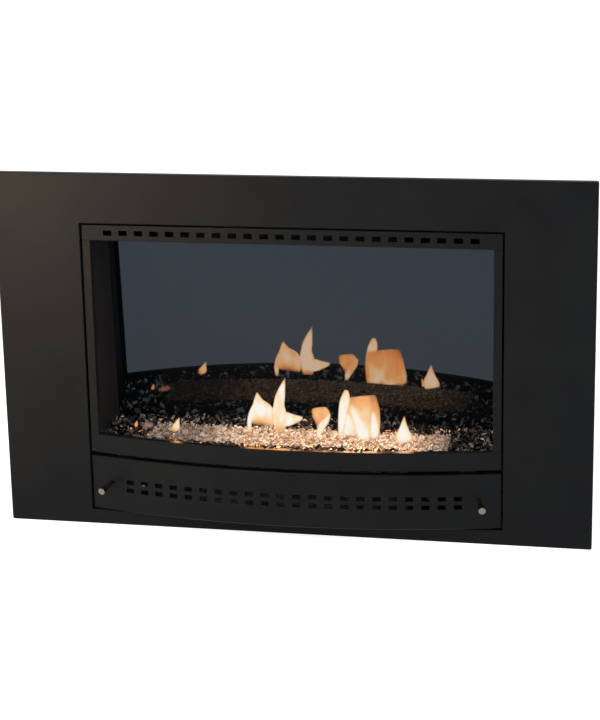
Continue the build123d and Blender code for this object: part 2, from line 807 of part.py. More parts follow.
# ---------------------------------------------------------------- pilot
pilot_y = strip_middle_y
pilot_floor = lip_bottom + pilot_base_thickness
pilot_cap = pilot_floor + pilot_stem
with BuildPart() as pilot_burner:
    with Locations((pilot_x, pilot_y, lip_bottom + pilot_base_thickness / 2)):
        Box(pilot_base_width, pilot_base_depth, pilot_base_thickness)
    with BuildSketch(Plane.XY.offset(pilot_floor)):
        with Locations((pilot_x, pilot_y)):
            Circle(pilot_radius)
    extrude(amount=pilot_stem)
    with Locations((pilot_x, pilot_y, pilot_cap + pilot_base_thickness / 2)):
        Box(pilot_cap_width, pilot_cap_width, pilot_base_thickness)
pilot_burner.part.label = "pilot_burner"
export_step(pilot_burner.part, "parts/pilot_burner.step")

with BuildPart() as spark_electrode:
    with BuildSketch(Plane.XZ.offset(-(pilot_y - pilot_spread))):
        with BuildLine():
            Polyline(
                (pilot_x, pilot_floor),
                (pilot_x + electrode_radius, pilot_floor),
                (pilot_x + electrode_radius, pilot_floor + electrode_sleeve),
                (pilot_x + electrode_wire_radius, pilot_floor + electrode_sleeve),
                (pilot_x + electrode_wire_radius, pilot_floor + electrode_length),
                (pilot_x, pilot_floor + electrode_length),
                close=True,
            )
        make_face()
    revolve(axis=Axis((pilot_x, pilot_y - pilot_spread, 0), (0, 0, 1)))
spark_electrode.part.label = "spark_electrode"
export_step(spark_electrode.part, "parts/spark_electrode.step")

with BuildPart() as thermocouple:
    with BuildSketch(Plane.XZ.offset(-(pilot_y + pilot_spread))):
        with BuildLine():
            Polyline(
                (pilot_x, pilot_floor),
                (pilot_x + electrode_radius, pilot_floor),
                (pilot_x + electrode_radius, pilot_floor + thermocouple_collar),
                (pilot_x + thermocouple_radius, pilot_floor + thermocouple_collar),
                (pilot_x + thermocouple_radius, pilot_floor + thermocouple_length),
                (pilot_x, pilot_floor + thermocouple_length),
                close=True,
            )
        make_face()
    revolve(axis=Axis((pilot_x, pilot_y + pilot_spread, 0), (0, 0, 1)))
thermocouple.part.label = "thermocouple"
export_step(thermocouple.part, "parts/thermocouple.step")

# ---------------------------------------------------------------- valve and controls
valve_left = valve_x - valve_width / 2
valve_right = valve_x + valve_width / 2
valve_low = valve_middle - valve_height / 2
valve_high = valve_middle + valve_height / 2
valve_back = valve_front + valve_depth
bracket_front = valve_front - 2 * sheet
bracket_left = valve_left - bracket_margin
bracket_right = igniter_x + 2 * bracket_margin
bracket_top = valve_high + bracket_margin
boss_radius = control_shaft_radius + control_clearance + boss_wall
with BuildPart() as valve_bracket:
    box_between((bracket_left, bracket_front, sheet), (bracket_right, bracket_front + sheet, bracket_top))
    box_between((bracket_left, bracket_front, sheet), (bracket_right, valve_back, 2 * sheet))
    with BuildSketch(Plane.XZ.offset(-bracket_front)):
        with Locations((valve_x, valve_middle)):
            Circle(boss_radius + touch_gap)
        with Locations((igniter_x, igniter_z)):
            Rectangle(2 * igniter_half, 2 * igniter_half)
    extrude(amount=-sheet, mode=Mode.SUBTRACT)
valve_bracket.part.label = "valve_bracket"
export_step(valve_bracket.part, "parts/valve_bracket.step")

with BuildPart() as gas_valve:
    box_between((valve_left, bracket_front + sheet, valve_low), (valve_right, valve_back, valve_high))
    chamfer(gas_valve.edges().filter_by(Axis.Y), length=valve_rounding)
    with BuildSketch(Plane.XY.offset(valve_high)):
        with Locations((valve_x - solenoid_offset, inlet_y)):
            Circle(solenoid_radius)
    extrude(amount=solenoid_height)
    with BuildSketch(Plane.XZ.offset(-bracket_front - sheet)):
        with Locations((valve_x, valve_middle)):
            Circle(boss_radius)
    extrude(amount=sheet + boss_length)
    with BuildSketch(Plane.XZ.offset(-bracket_front + boss_length)):
        with Locations((valve_x, valve_middle)):
            Circle(control_shaft_radius + control_clearance)
    extrude(amount=-control_shaft_hole, mode=Mode.SUBTRACT)
gas_valve.part.label = "gas_valve"
export_step(gas_valve.part, "parts/gas_valve.step")

# The control knob: an eight-sided grip with a raised pointer, and the shaft that turns in the valve.
control_back = bracket_front - boss_length - touch_gap
control_front = control_back - control_length
with BuildPart() as control_knob:
    with BuildSketch(Plane.XZ.offset(-control_back)):
        with Locations((valve_x, valve_middle)):
            RegularPolygon(control_radius, control_sides, rotation=180 / control_sides)
    extrude(amount=control_length)
    with BuildSketch(Plane.XZ.offset(-control_back)):
        with Locations((valve_x, valve_middle)):
            Circle(control_shaft_radius)
    extrude(amount=-control_shaft_length)
    box_between(
        (valve_x - pointer_width / 2, control_front - 1, valve_middle),
        (valve_x + pointer_width / 2, control_front, valve_middle + control_radius - pointer_margin),
    )
control_knob.part.label = "control_knob"
export_step(control_knob.part, "parts/control_knob.step")

igniter_front = bracket_front - igniter_collar
with BuildPart() as igniter_body:
    with BuildSketch(Plane.XZ.offset(-igniter_front)):
        with Locations((igniter_x, igniter_z)):
            Rectangle(2 * (igniter_half + igniter_rim), 2 * (igniter_half + igniter_rim))
    extrude(amount=-igniter_collar)
    with BuildSketch(Plane.XZ.offset(-bracket_front)):
        with Locations((igniter_x, igniter_z)):
            Rectangle(2 * igniter_half, 2 * igniter_half)
    extrude(amount=-igniter_length)
    with BuildSketch(Plane.XZ.offset(-igniter_front)):
        with Locations((igniter_x, igniter_z)):
            Circle(button_radius + button_clearance)
    extrude(amount=-button_length - button_travel, mode=Mode.SUBTRACT)
igniter_body.part.label = "igniter_body"
export_step(igniter_body.part, "parts/igniter_body.step")

button_front = igniter_front - button_travel - button_stand
with BuildPart() as igniter_button:
    with BuildSketch(Plane.XZ.offset(-button_front)):
        with Locations((igniter_x, igniter_z)):
            Circle(button_radius)
    extrude(amount=-button_length)
igniter_button.part.label = "igniter_button"
export_step(igniter_button.part, "parts/igniter_button.step")

# ---------------------------------------------------------------- pipes
# Manifold and pilot pipe: straight runs of tube, each joined by two square elbow fittings.
corner_x = injector_end + pipe_run
near_elbow = (corner_x, strip_middle_y, venturi_z)
far_elbow = (corner_x, inlet_y, valve_middle)
with BuildPart() as manifold_pipe:
    start = (injector_end, strip_middle_y, venturi_z)
    with BuildLine():
        Polyline(start, near_elbow, far_elbow, (valve_left, inlet_y, valve_middle))
    with BuildSketch(Plane(origin=start, x_dir=(0, 1, 0), z_dir=(1, 0, 0))):
        Circle(pipe_radius)
    sweep(transition=Transition.RIGHT)
    with Locations(near_elbow, far_elbow):
        Box(elbow_size, elbow_size, elbow_size)
manifold_pipe.part.label = "manifold_pipe"
export_step(manifold_pipe.part, "parts/manifold_pipe.step")

with BuildPart() as pilot_pipe:
    start = (pilot_x, pilot_y, floor_bottom)
    end = (valve_left, inlet_y + pilot_pipe_offset, valve_high - 2 * valve_rounding)
    under_pilot = (pilot_x, pilot_y, end[2])
    behind_pilot = (pilot_x, end[1], end[2])
    with BuildLine():
        Polyline(start, under_pilot, behind_pilot, end)
    with BuildSketch(Plane(origin=start, x_dir=(1, 0, 0), z_dir=(0, 0, -1))):
        Circle(pilot_pipe_radius)
    sweep(transition=Transition.RIGHT)
    with Locations(under_pilot, behind_pilot):
        Box(pilot_elbow, pilot_elbow, pilot_elbow)
pilot_pipe.part.label = "pilot_pipe"
export_step(pilot_pipe.part, "parts/pilot_pipe.step")

inlet_face = casing_half - sheet
inlet_end = inlet_face + inlet_length
with BuildPart() as gas_inlet:
    with BuildSketch(Plane.YZ.offset(valve_right)):
        with Locations((inlet_y, inlet_z)):
            Circle(inlet_thread_radius)
    extrude(amount=inlet_end - valve_right)
    with BuildSketch(Plane.YZ.offset(inlet_face)):
        with Locations((inlet_y, inlet_z)):
            RegularPolygon(inlet_nut, 6)
    extrude(amount=inlet_nut_length)
    with BuildSketch(Plane.YZ.offset(inlet_end)):
        with Locations((inlet_y, inlet_z)):
            Circle(inlet_bore)
    extrude(amount=-inlet_length, mode=Mode.SUBTRACT)
gas_inlet.part.label = "gas_inlet"
export_step(gas_inlet.part, "parts/gas_inlet.step")

# ---------------------------------------------------------------- fixings
clip_heights = (opening_bottom + clip_margin, opening_top - clip_margin)
with BuildPart() as surround_clips:
    for side in (-1, 1):
        near = side * casing_half
        front_leg = sorted((near, near + side * clip_width))
        side_leg = sorted((near, near + side * sheet))
        for height in clip_heights:
            low = height - clip_height / 2
            high = height + clip_height / 2
            box_between((front_leg[0], casing_front, low), (front_leg[1], casing_front + sheet, high))
            box_between((side_leg[0], casing_front, low), (side_leg[1], casing_front + clip_depth, high))
surround_clips.part.label = "surround_clips"
export_step(surround_clips.part, "parts/surround_clips.step")
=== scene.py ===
import json
import math

import bmesh
import bpy
from mathutils import Matrix, Vector


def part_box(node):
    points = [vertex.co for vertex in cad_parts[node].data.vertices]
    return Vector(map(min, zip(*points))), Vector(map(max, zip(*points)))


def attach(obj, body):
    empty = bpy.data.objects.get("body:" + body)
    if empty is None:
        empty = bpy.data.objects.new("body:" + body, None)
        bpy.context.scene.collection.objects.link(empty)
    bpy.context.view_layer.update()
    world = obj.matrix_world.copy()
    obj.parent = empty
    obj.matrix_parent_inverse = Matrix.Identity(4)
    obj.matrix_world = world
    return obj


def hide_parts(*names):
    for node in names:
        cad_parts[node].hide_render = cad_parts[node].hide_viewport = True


# Bowed-front gas fireplace insert: the finishes, the crushed glass, the flames, the small fixings and the
# studio. Metres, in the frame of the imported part: +X right, +Y back into the wall, +Z up.

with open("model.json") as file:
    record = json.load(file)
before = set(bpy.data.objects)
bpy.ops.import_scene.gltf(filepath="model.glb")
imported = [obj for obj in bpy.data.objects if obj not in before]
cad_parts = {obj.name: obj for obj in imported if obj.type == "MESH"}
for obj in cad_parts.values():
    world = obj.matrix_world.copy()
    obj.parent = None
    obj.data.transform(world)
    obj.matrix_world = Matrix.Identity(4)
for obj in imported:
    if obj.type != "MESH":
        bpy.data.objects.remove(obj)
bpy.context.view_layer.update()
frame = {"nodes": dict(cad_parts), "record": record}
MM = 0.001

# ---------------------------------------------------------------- sizes taken from the part
strip_low, strip_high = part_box("clear_glass_strip")
bed_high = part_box("black_glass_bed")[1]
pilot_low, pilot_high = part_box("pilot_burner")

# ---------------------------------------------------------------- values set in this script
# Crushed glass: half a chip's mean size, the distance between chips, and how far one may stand above or below
# its layer; then how far that layer, and the bedding under it, lie below the top of the CAD block.
CLEAR_CHIP, CLEAR_SPACING, CLEAR_RISE = 3.7 * MM, 3.4 * MM, 2.2 * MM
CLEAR_LAYER, CLEAR_BEDDING = 3 * MM, 4 * MM
CLEAR_INSET = 3 * MM           # clear chips keep this far from the sides of their block
BLACK_CHIP, BLACK_SPACING, BLACK_RISE = 7.0 * MM, 7.2 * MM, 3.4 * MM
BLACK_LAYER, BLACK_BEDDING = 2 * MM, 3 * MM
CHIP_LEAST = (0.55, 0.45, 0.35)    # sides of the smallest chip and of the largest, as shares of the mean
CHIP_MOST = (1.3, 1.05, 0.8)
CHIP_DENSITY = 400000.0        # more points to a square metre than the spacing lets stand
BREAK_GRAIN = 330.0            # waves to a metre in what makes chips crooked, so about 3 mm each
BREAK_PUSH = 5.0 * MM
FULL_TURN = 6.283
CLEAR_SEED, BLACK_SEED, POCKET_SEED = 4, 9, 12

# In front of the first line the clear glass falls away and the black glass is heaped up, down to the lip.
FRONT_SLOPE_START = 14 * MM
FRONT_SLOPE_LENGTH = 27 * MM
FRONT_SLOPE_DROP = 8 * MM
FRONT_HEAP = 7 * MM

# Black chips over the pocket that holds the pilot: margin round it, gap to the clear glass, and height.
POCKET_MARGIN, POCKET_GAP, POCKET_HEIGHT = 4 * MM, 2 * MM, 1 * MM

# The clear glass glows with painted firelight, which grows from the first place across to the second, at both
# ends; the last two values are its glow at the ends and in the middle.
FIRE_LEFT = (-185 * MM, -110 * MM)
FIRE_RIGHT = (265 * MM, 205 * MM)
FIRE_WEAK, FIRE_STRONG = 0.13, 0.5

# Fire is far brighter than the paper white that shows it, so what mirrors it shows more of it, and warmer.
FLAME_GLOW_IN_GLOSS = 15.0
FLAME_CAST = (1.6, 0.95, 0.55)
GLASS_CAST = (1.85, 1.3, 0.92)
GLINT_IN_GLOSS = 1.4           # strength of the painted glint on the brightest facets of the black glass, seen only in what mirrors them
FAINT_FIRE = 0.08              # cover of the coolest fire
DENSE_FIRE = 0.62              # warmth from which fire covers all that is behind it

# Tongues of fire.
TONGUE_COLUMNS, TONGUE_ROWS = 12, 30
TONGUE_STEP = 4                # each tongue of a flame stands this many millimetres behind the one before
TONGUE_DEPTH = 0.3             # a tongue's half depth as a share of its width
TONGUE_DEPTH_MOST = 8.0        # and at most this many millimetres
RIM_COOLING = 0.38             # a tongue's rim is this much less warm than its core
THIN = 0.1                     # cover left at the rim, the foot and the tip
FOOT_FADE, TIP_FADE = 5, 8     # how steeply the cover grows from foot and tip
BLUNT_END, SWELL = 0.06, 0.88  # shares of half a turn that shape a tongue's belly from foot to tip
LOOK_AHEAD = 0.02              # share of a spine, each way, over which its direction is taken

# Screws: count and place of each row. A flange's screws stand along its middle.
SCREW_HEAD, SCREW_HEIGHT = 4.5 * MM, 4 * MM
FLANGE_MIDDLE = 9 * MM
SIDE_SCREWS, SIDE_START, SIDE_END = 3, 40 * MM, 190 * MM
BACK_SCREWS, BACK_REACH = 5, 300 * MM
CLIP_SCREWS, CLIP_LOW, CLIP_HIGH = 2, 111 * MM, 458.5 * MM
CLIP_LEG = 24.4 * MM           # the leg that a clip's screw goes through, in from the clip's outer edge
CLIP_DEPTH = 16 * MM

SAME_POINT = 0.01 * MM         # points that are nearer to each other than this are one
NEAR_TOP = 0.1 * MM            # a point that is this near to a block's top belongs to its top face

# Each flame: how far it stands behind the wall face, and its tongues. A tongue has the width of its soft
# edge and its points from foot to tip: (across, height above the glass strip, width, warmth). All are in
# millimetres but the warmth, from 0 for a blue foot to 1 for a white core. The points began as rough
# measurements of the flames in the photograph, and were thinned, moved and rounded.
FLAMES = {
    "far_left": (12, [
        (4, [(-216, 12, 7, 0.4), (-210, 20, 15, 0.7), (-207, 28, 9, 0.8), (-203, 38, 2, 0.6)]),
    ]),
    "left": (20, [
        (3, [(-80, 12, 7, 0.5), (-80, 32, 9, 0.9), (-76, 50, 9, 1.0), (-70, 68, 4, 0.9)]),
        (3, [
            (-60, 26, 44, 0.5), (-58, 42, 48, 0.8), (-60, 56, 40, 0.95), (-64, 70, 19, 0.95),
            (-66, 86, 3, 0.8),
        ]),
    ]),
    "tall": (20, [
        (3, [
            (-26, 16, 18, 0.6), (-26, 32, 24, 0.9), (-27, 50, 26, 1.0), (-27, 66, 20, 1.0),
            (-24, 84, 17, 0.95), (-15, 116, 2, 0.7),
        ]),
        (4, [(-28, 40, 26, 1.0), (-14, 39, 26, 0.95), (0, 40, 17, 0.85), (14, 43, 6, 0.7)]),
    ]),
    "low_middle": (20, [
        (4, [(40, 8, 7, 0.8), (46, 28, 14, 1.0), (54, 42, 14, 0.9), (61, 54, 5, 0.7)]),
        (3, [
            (44, 22, 10, 0.2), (46, 38, 26, 0.55), (46, 48, 33, 0.65), (43, 58, 29, 0.65), (42, 63, 24, 0.5),
        ]),
    ]),
    "broad": (20, [
        (3, [(80, 6, 9, 0.8), (82, 40, 13, 1.0), (87, 72, 18, 1.0), (90, 88, 14, 0.9), (91, 98, 7, 0.7)]),
        (7, [(138, 10, 18, 0.9), (138, 30, 18, 1.0), (136, 60, 8, 0.75)]),
        (9, [(96, 70, 16, 0.8), (106, 50, 20, 0.9), (116, 30, 28, 1.0), (118, 8, 26, 1.0)]),
        (9, [(90, 12, 26, 0.95), (92, 34, 20, 0.95), (93, 56, 10, 0.8)]),
        (3, [
            (112, 12, 66, 0.85), (112, 32, 70, 0.75), (112, 56, 69, 0.6), (111, 74, 63, 0.5),
            (110, 82, 58, 0.45),
        ]),
    ]),
    "right": (24, [
        (3, [(192, 6, 28, 0.9), (189, 18, 28, 1.0), (189, 35, 14, 1.0), (190, 54, 2, 0.7)]),
        (3, [(178, 10, 9, 0.8), (174, 26, 3, 0.5)]),
    ]),
    "pilot": (54, [
        (3, [(-295, 2, 5, 0.35), (-294, 7, 7, 0.45), (-292, 14, 2, 0.35)]),
        (7, [(-285, 2, 8, 0.1), (-272, 6, 14, 0.12), (-257, 7, 6, 0.08)]),
    ]),
}


# ---------------------------------------------------------------- small tools
def linear(hex_colour):
    """Linear RGBA of an sRGB colour written as #RRGGBB."""
    channels = [int(hex_colour[i : i + 2], 16) / 255 for i in (1, 3, 5)]
    return tuple(c / 12.92 if c <= 0.04045 else ((c + 0.055) / 1.055) ** 2.4 for c in channels) + (1.0,)


def add_node(tree, kind, inputs=None, stops=(), **settings):
    """Adds a node with its own settings. Each input is a value, a socket, or a node whose first output feeds
    it. The stops of a colour ramp are (place, #RRGGBB)."""
    node = tree.nodes.new(kind)
    for name, value in settings.items():
        setattr(node, name, value)
    for name, value in (inputs or {}).items():
        if isinstance(value, bpy.types.Node):
            value = value.outputs[0]
        if isinstance(value, bpy.types.NodeSocket):
            tree.links.new(value, node.inputs[name])
        else:
            node.inputs[name].default_value = value
    if stops:
        elements = node.color_ramp.elements
        while len(elements) < len(stops):
            elements.new(0.5)
        for element, (place, colour) in zip(elements, stops):
            element.position = place
            element.color = linear(colour)
    return node


def mottle(tree, size, detail=2.0, stretch=(1, 1, 1)):
    """Cloudy pattern whose patches are about size metres across."""
    place = add_node(tree, "ShaderNodeTexCoord").outputs["Object"]
    turned = add_node(tree, "ShaderNodeMapping", {"Vector": place, "Scale": stretch})
    return add_node(tree, "ShaderNodeTexNoise", {"Vector": turned, "Scale": 1 / size, "Detail": detail})


def dressed(name, shade):
    """A material whose surface is what shade(tree) returns."""
    material = bpy.data.materials.new(name)
    material.use_nodes = True
    tree = material.node_tree
    tree.nodes.clear()
    add_node(tree, "ShaderNodeOutputMaterial", {"Surface": shade(tree)})
    return material


def coated_metal(dark, light, roughness, grain, relief, gloss):
    """Paint on sheet steel: a faint cloudiness in the tone and a fine skin in the relief."""

    def shade(tree):
        clouds = mottle(tree, 90 * MM, 3.0)
        skin = mottle(tree, grain, 1.0)
        dents = add_node(tree, "ShaderNodeBump", {"Height": skin, "Strength": relief, "Distance": 0.1 * MM})
        tone = add_node(tree, "ShaderNodeValToRGB", {"Fac": clouds}, [(0.3, dark), (0.7, light)])
        polish = add_node(
            tree, "ShaderNodeMapRange",
            {
                "Value": clouds, "From Min": 0.3, "From Max": 0.7,
                "To Min": roughness - 0.04, "To Max": roughness + 0.04,
            },
        )
        return add_node(
            tree, "ShaderNodeBsdfPrincipled",
            {"Base Color": tone, "Roughness": polish, "Normal": dents, "Specular IOR Level": gloss},
        )

    return shade


def bare_metal(dark, light, roughness, patch, stretch=(1, 1, 1)):
    """Uncoated metal with streaks or patches in its tone and polish."""

    def shade(tree):
        streaks = mottle(tree, patch, 3.0, stretch)
        scratches = add_node(
            tree, "ShaderNodeBump", {"Height": streaks, "Strength": 0.15, "Distance": 0.05 * MM}
        )
        tone = add_node(tree, "ShaderNodeValToRGB", {"Fac": streaks}, [(0.3, dark), (0.7, light)])
        polish = add_node(
            tree, "ShaderNodeMapRange",
            {
                "Value": streaks, "From Min": 0.3, "From Max": 0.7,
                "To Min": roughness - 0.05, "To Max": roughness + 0.07,
            },
        )
        return add_node(
            tree, "ShaderNodeBsdfPrincipled",
            {"Base Color": tone, "Metallic": 1.0, "Roughness": polish, "Normal": scratches},
        )

    return shade


def galvanised(tree):
    """Zinc-dipped sheet: angular spangles almost a centimetre across, each with its own tone and polish."""
    place = add_node(tree, "ShaderNodeTexCoord").outputs["Object"]
    cells = add_node(tree, "ShaderNodeTexVoronoi", {"Vector": place, "Scale": 1 / (8 * MM)})
    cell = add_node(tree, "ShaderNodeSeparateColor", {"Color": cells.outputs["Color"]})
    tone = add_node(
        tree, "ShaderNodeValToRGB", {"Fac": cell}, [(0.0, "#9A9EA1"), (0.55, "#A8ACAE"), (1.0, "#B6BABC")]
    )
    polish = add_node(tree, "ShaderNodeMapRange", {"Value": cell, "To Min": 0.42, "To Max": 0.5})
    return add_node(
        tree, "ShaderNodeBsdfPrincipled", {"Base Color": tone, "Metallic": 0.85, "Roughness": polish}
    )


def black_mirror_enamel(tree):
    """Vitreous enamel on the back panel: near-black and mirror smooth, with a painted cold cast on what it
    mirrors.
    """
    clouds = mottle(tree, 160 * MM, 2.0)
    tone = add_node(tree, "ShaderNodeValToRGB", {"Fac": clouds}, [(0.3, "#07090C"), (0.7, "#0A0D11")])
    # Specular Tint paints a cold cast on everything the panel mirrors.
    return add_node(
        tree, "ShaderNodeBsdfPrincipled",
        {"Base Color": tone, "Roughness": 0.02, "IOR": 1.5, "Specular Tint": linear("#C3D9F5")},
    )


def moulded(colour, lighter, roughness):
    """Moulded plastic: even colour with a fine spark-eroded texture."""
    return coated_metal(colour, lighter, roughness, 0.5 * MM, 0.25, 0.5)


def glazed_ceramic(tree):
    """White insulator: a glossy glaze, slightly creamy where it pools."""
    pools = mottle(tree, 6 * MM)
    tone = add_node(tree, "ShaderNodeValToRGB", {"Fac": pools}, [(0.35, "#D9D3C6"), (0.7, "#EDE9E0")])
    return add_node(
        tree, "ShaderNodeBsdfPrincipled",
        {"Base Color": tone, "Roughness": 0.12, "Coat Weight": 0.6, "Coat Roughness": 0.05},
    )


def warmer_in_gloss(tree, colour, cast):
    """Firelight as it is, and a painted deeper peach in what mirrors it, against the enamel's painted cold
    cast.
    Sockets 4, 5 and 1 are the Mix node's vector ones."""
    in_gloss = add_node(tree, "ShaderNodeLightPath").outputs["Is Glossy Ray"]
    peach = add_node(tree, "ShaderNodeVectorMath", {0: colour, 1: cast}, operation="MULTIPLY")
    seen = add_node(tree, "ShaderNodeMix", {"Factor": in_gloss, 4: colour, 5: peach}, data_type="VECTOR")
    return seen.outputs[1]


def crushed_clear_glass(tree):
    """Clear chips lit by painted firelight: they glow peach, cream and brown by facet, as if the burner's
    fire shone up through them, and duller towards the two ends of the burner, where no flame stands."""
    tone = add_node(tree, "ShaderNodeAttribute", attribute_name="chip_tone").outputs["Fac"]
    facet = add_node(tree, "ShaderNodeAttribute", attribute_name="facet").outputs["Fac"]
    flaws = mottle(tree, 9 * MM, 2.0)
    broken = add_node(tree, "ShaderNodeMath", {0: facet, 1: 0.55, 2: tone}, operation="MULTIPLY_ADD")
    mixed = add_node(tree, "ShaderNodeMath", {0: broken, 1: flaws}, operation="ADD")
    level = add_node(tree, "ShaderNodeMapRange", {"Value": mixed, "From Min": 0.45, "From Max": 1.75})
    painted_firelight = add_node(
        tree, "ShaderNodeValToRGB", {"Fac": level},
        [(0.0, "#5C4232"), (0.25, "#A87C5E"), (0.5, "#D3A57F"), (0.75, "#EBC6A0"), (1.0, "#FBEBDA")],
    )
    plain = add_node(
        tree, "ShaderNodeValToRGB", {"Fac": level}, [(0.0, "#231F1C"), (0.5, "#4A4540"), (1.0, "#8E9299")]
    )
    place = add_node(tree, "ShaderNodeTexCoord").outputs["Object"]
    along = add_node(tree, "ShaderNodeSeparateXYZ", {"Vector": place}).outputs["X"]
    from_left, from_right = (
        add_node(tree, "ShaderNodeMapRange", {"Value": along, "From Min": start, "From Max": full})
        for start, full in (FIRE_LEFT, FIRE_RIGHT)
    )
    fire = add_node(tree, "ShaderNodeMath", {0: from_left, 1: from_right}, operation="MULTIPLY")
    strength = add_node(
        tree, "ShaderNodeMapRange", {"Value": fire, "To Min": FIRE_WEAK, "To Max": FIRE_STRONG}
    )
    # Emission Color and Strength are painted firelight: the chips themselves glow where the fire would shine
    # through them.
    return add_node(
        tree, "ShaderNodeBsdfPrincipled",
        {
            "Base Color": plain, "Roughness": 0.1, "IOR": 1.5, "Transmission Weight": 0.25,
            "Emission Color": warmer_in_gloss(tree, painted_firelight, GLASS_CAST), "Emission Strength": strength,
        },
    )


def crushed_black_glass(tree):
    """Black chips: glossy broken faces, from deep black to a few pale ones that are painted glints; these
    also glow as painted glints in what mirrors them."""
    facet = add_node(tree, "ShaderNodeAttribute", attribute_name="facet").outputs["Fac"]
    # Painted glint: the brightest facets glow, but only in what mirrors them.
    in_gloss = add_node(tree, "ShaderNodeLightPath").outputs["Is Glossy Ray"]
    bright = add_node(
        tree, "ShaderNodeMapRange",
        {"Value": facet, "From Min": 0.8, "From Max": 1.0, "To Min": 0.0, "To Max": GLINT_IN_GLOSS},
    )
    glint = add_node(tree, "ShaderNodeMath", {0: in_gloss, 1: bright}, operation="MULTIPLY")
    # The palest stop of this ramp paints glints into the colour of a few facets.
    tone = add_node(
        tree, "ShaderNodeValToRGB", {"Fac": facet},
        [(0.0, "#090909"), (0.55, "#161617"), (0.8, "#2C2C2F"), (0.97, "#7A7571")],
    )
    polish = add_node(tree, "ShaderNodeMapRange", {"Value": facet, "To Min": 0.08, "To Max": 0.24})
    return add_node(
        tree, "ShaderNodeBsdfPrincipled",
        {
            "Base Color": tone, "Roughness": polish, "Specular IOR Level": 0.6,
            "Emission Color": linear("#FFEAD6"), "Emission Strength": glint,
        },
    )


def flame_glow(tree):
    """Gas fire: white and cream cores, peach edges and a blue foot that is nearly clear. It shines in what
    mirrors it."""
    warmth = add_node(tree, "ShaderNodeAttribute", attribute_name="warmth").outputs["Fac"]
    cover = add_node(tree, "ShaderNodeAttribute", attribute_name="cover").outputs["Fac"]
    streaks = add_node(
        tree, "ShaderNodeMapRange",
        {
            "Value": mottle(tree, 18 * MM, 2.0, (1, 1, 0.4)), "From Min": 0.3, "From Max": 0.7,
            "To Min": -0.2, "To Max": 0.16,
        },
    )
    lively = add_node(tree, "ShaderNodeMath", {0: warmth, 1: streaks}, operation="ADD")
    colour = add_node(
        tree, "ShaderNodeValToRGB", {"Fac": lively},
        [
            (0.0, "#4F5E8C"), (0.14, "#A98C88"), (0.3, "#EE9C5A"), (0.58, "#F5BC80"), (0.78, "#FAE0B8"),
            (0.94, "#FBF4E8"),
        ],
    )
    in_gloss = add_node(tree, "ShaderNodeLightPath").outputs["Is Glossy Ray"]
    strength = add_node(
        tree, "ShaderNodeMath", {0: in_gloss, 1: FLAME_GLOW_IN_GLOSS, 2: 1.0}, operation="MULTIPLY_ADD"
    )
    light = add_node(
        tree, "ShaderNodeEmission", {"Color": warmer_in_gloss(tree, colour, FLAME_CAST), "Strength": strength}
    )
    clear = add_node(tree, "ShaderNodeBsdfTransparent")
    dense = add_node(
        tree, "ShaderNodeMapRange",
        {"Value": lively, "From Min": 0.0, "From Max": DENSE_FIRE, "To Min": FAINT_FIRE, "To Max": 1.0},
    )
    thickness = add_node(tree, "ShaderNodeMath", {0: cover, 1: dense}, operation="MULTIPLY")
    return add_node(tree, "ShaderNodeMixShader", {0: thickness, 1: clear, 2: light})


def plain_white(tree):
    """1 where the eye, gloss or clear glass looks at the studio, and 0 where the studio lights the object."""
    path = add_node(tree, "ShaderNodeLightPath").outputs
    seen = path["Is Camera Ray"]
    for ray in ("Is Glossy Ray", "Is Transmission Ray"):
        seen = add_node(tree, "ShaderNodeMath", {0: seen, 1: path[ray]}, operation="MAXIMUM")
    return seen


def studio_floor(tree):
    """Pale paper floor that stays white to the eye and keeps the object's shadow."""
    lift = add_node(tree, "ShaderNodeMath", {0: plain_white(tree), 1: 0.8}, operation="MULTIPLY")
    paper = add_node(tree, "ShaderNodeBsdfDiffuse", {"Color": linear("#E9E8E4")})
    glow = add_node(tree, "ShaderNodeEmission", {"Color": linear("#FFFFFD"), "Strength": lift})
    return add_node(tree, "ShaderNodeAddShader", {0: paper, 1: glow})


